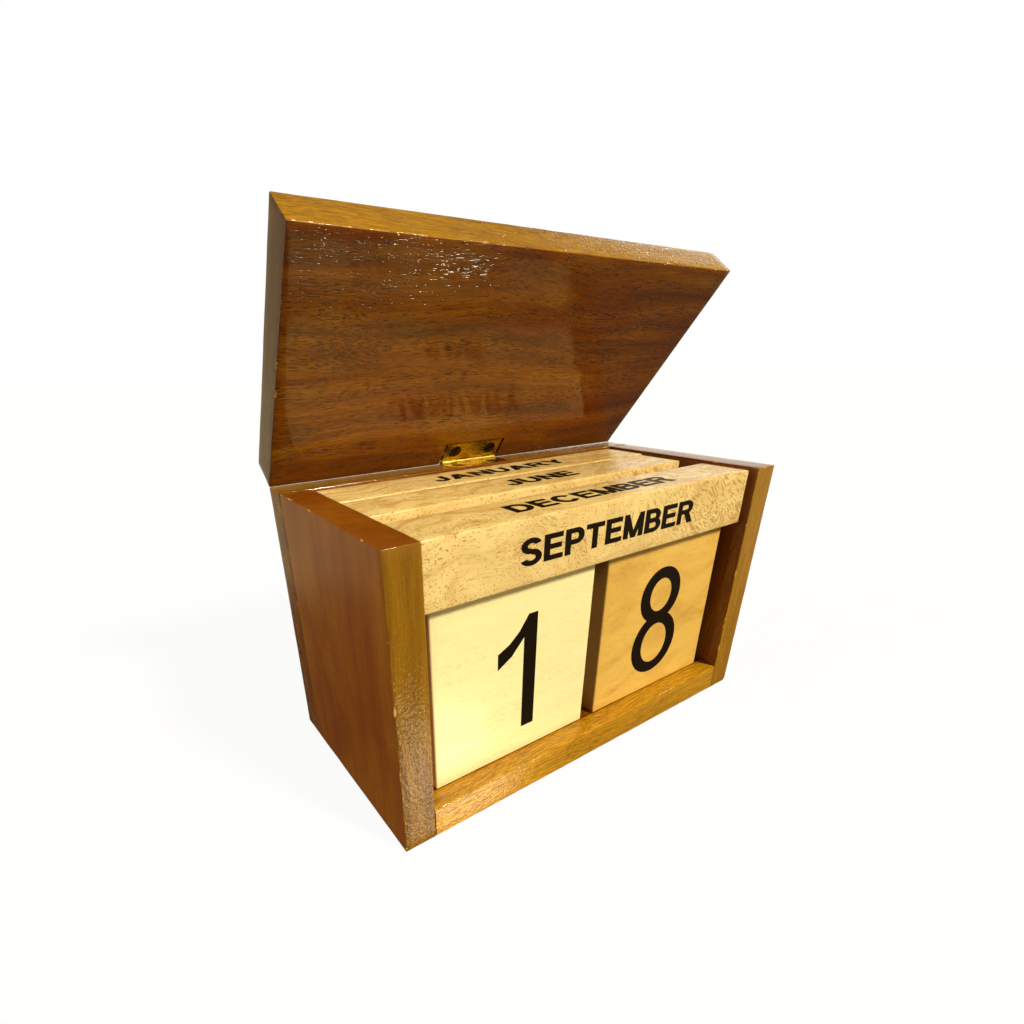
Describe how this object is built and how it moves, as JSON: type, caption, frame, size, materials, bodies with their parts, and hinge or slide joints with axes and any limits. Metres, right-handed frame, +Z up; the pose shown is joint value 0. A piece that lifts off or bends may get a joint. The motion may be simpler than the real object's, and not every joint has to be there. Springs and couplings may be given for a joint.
{
  "type": "flip desk calendar",
  "caption": "Open-fronted wooden desk box with a hinged lid, holding turnable number cubes and month bars that show the date.",
  "frame": {"origin": "centre of the box's base, on the surface it stands on", "axes": "+Z up, -Y out of the open front, +X to the right seen from the front; the lid is stored standing open"},
  "size_m": [0.152, 0.0828, 0.153],
  "materials": {
    "stained_wood": "golden brown stain under gloss lacquer",
    "cube_wood_light": "pale yellow, clear lacquer",
    "cube_wood_amber": "amber, clear lacquer",
    "bar_wood": "cream, clear lacquer",
    "dowel_wood": "plain beech",
    "hinge_brass": "worn polished brass",
    "pin_steel": "drawn steel",
    "screw_steel": "dark bronzed steel"
  },
  "bodies": {
    "box": {"bottom_panel": "stained_wood", "left_side_panel": "stained_wood", "right_side_panel": "stained_wood", "back_panel": "stained_wood", "hinge_leaf_box": "hinge_brass", "hinge_pin": "pin_steel", "box_leaf_screw_left": "screw_steel", "box_leaf_screw_right": "screw_steel", "left_bottom_dowels": "dowel_wood", "right_bottom_dowels": "dowel_wood", "left_back_dowels": "dowel_wood", "right_back_dowels": "dowel_wood", "bottom_back_dowels": "dowel_wood"},
    "lid": {"lid_panel": "stained_wood", "hinge_leaf_lid": "hinge_brass", "lid_leaf_screw_left": "screw_steel", "lid_leaf_screw_right": "screw_steel"},
    "cube_left": {"number_cube_left": "cube_wood_light"},
    "cube_right": {"number_cube_right": "cube_wood_amber"},
    "bar_front": {"month_bar_front": "bar_wood"},
    "bar_middle": {"month_bar_middle": "bar_wood"},
    "bar_rear": {"month_bar_rear": "bar_wood"}
  },
  "joints": [
    {"name": "lid_hinge", "type": "hinge", "parent": "box", "child": "lid", "pos_m": [0, 0.03755, 0.0876], "axis": [-1, 0, 0], "range_deg": [-52.5, 122.5]},
    {"name": "cube_left_slide", "type": "slide", "parent": "box", "child": "cube_left", "axis": [0, -1, 0], "range_m": [0, 0.034]},
    {"name": "cube_right_slide", "type": "slide", "parent": "box", "child": "cube_right", "axis": [0, -1, 0], "range_m": [0, 0.034]},
    {"name": "bar_front_lift", "type": "slide", "parent": "box", "child": "bar_front", "axis": [0, 0, 1], "range_m": [0, 0.045]},
    {"name": "bar_middle_lift", "type": "slide", "parent": "box", "child": "bar_middle", "axis": [0, 0, 1], "range_m": [0, 0.034]},
    {"name": "bar_rear_lift", "type": "slide", "parent": "box", "child": "bar_rear", "axis": [0, 0, 1], "range_m": [0, 0.013]}
  ]
}
